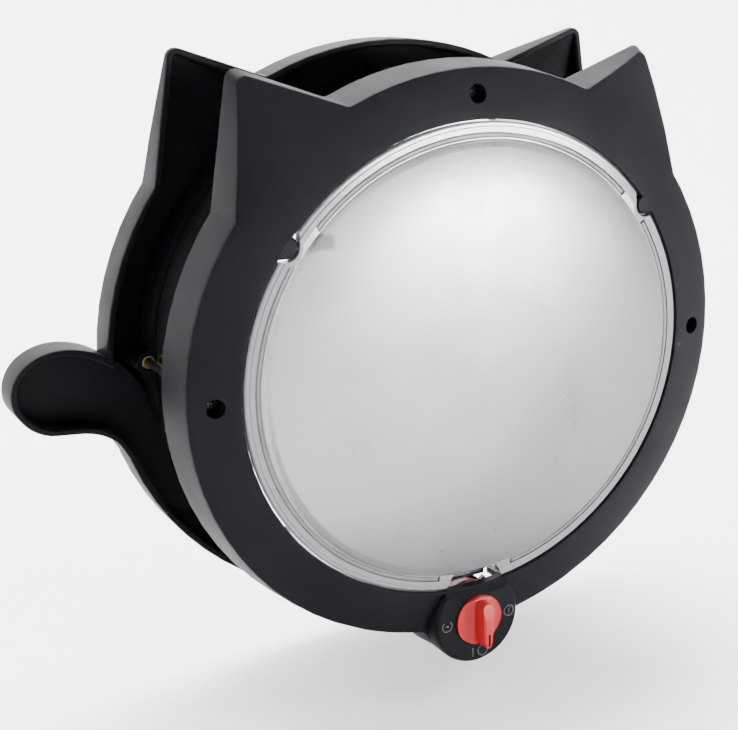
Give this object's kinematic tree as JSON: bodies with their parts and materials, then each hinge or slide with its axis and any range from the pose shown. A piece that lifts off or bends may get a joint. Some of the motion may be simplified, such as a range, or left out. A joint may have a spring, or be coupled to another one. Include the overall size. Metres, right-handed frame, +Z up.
{
  "type": "cat flap",
  "caption": "Cat-face cat flap for a door: domed frosted flap swinging both ways in an oval tunnel, eared black frames indoors and outdoors, a tail, and a red rotary lock.",
  "frame": {"origin": "on the tunnel's axis at mid-thickness of the door leaf it clamps", "axes": "+X across the opening (to the right seen from indoors), +Y through the door towards outdoors, +Z up"},
  "size_m": [0.3042, 0.1026, 0.261],
  "materials": {
    "frame_plastic": "fine-textured satin black",
    "liner_plastic": "smooth glossy black",
    "frosted_pane": "frosted silvery grey, satin",
    "seal_rubber": "translucent grey silicone",
    "lock_red": "glossy red",
    "cam_red": "dark red",
    "steel": "plain steel",
    "black_steel": "black oxide",
    "brass": "turned brass",
    "nylon": "natural nylon",
    "magnet": "plated magnet, dark grey-blue"
  },
  "bodies": {
    "frame": {"indoor_frame": "frame_plastic", "outdoor_frame": "frame_plastic", "tunnel_liner": "liner_plastic", "hinge_pin_left": "steel", "hinge_pin_right": "steel", "frame_magnet": "magnet", "lock_spring": "steel", "mounting_screw_top": "black_steel", "threaded_insert_top": "brass", "mounting_screw_left": "black_steel", "threaded_insert_left": "brass", "mounting_screw_right": "black_steel", "threaded_insert_right": "brass"},
    "flap": {"flap_panel": "frosted_pane", "flap_seal_top": "seal_rubber", "flap_seal_left": "seal_rubber", "flap_seal_right": "seal_rubber", "hinge_bush_left": "nylon", "hinge_bush_right": "nylon", "flap_strike": "liner_plastic", "flap_magnet": "magnet", "strike_screw_left": "steel", "strike_screw_right": "steel"},
    "lock": {"lock_knob": "lock_red", "lock_plate_indoor": "cam_red", "lock_drum": "cam_red", "lock_plate_outdoor": "cam_red", "lock_washer": "steel", "lock_screw": "steel"}
  },
  "joints": [
    {"name": "flap_swing", "type": "hinge", "parent": "frame", "child": "flap", "pos_m": [0, -0.0442, 0.0575], "axis": [1, 0, 0], "range_deg": [-80, 60]},
    {"name": "lock_turn", "type": "hinge", "parent": "frame", "child": "lock", "pos_m": [0, -0.0504, -0.1126], "axis": [0, 1, 0], "range_deg": [-90, 90]}
  ]
}
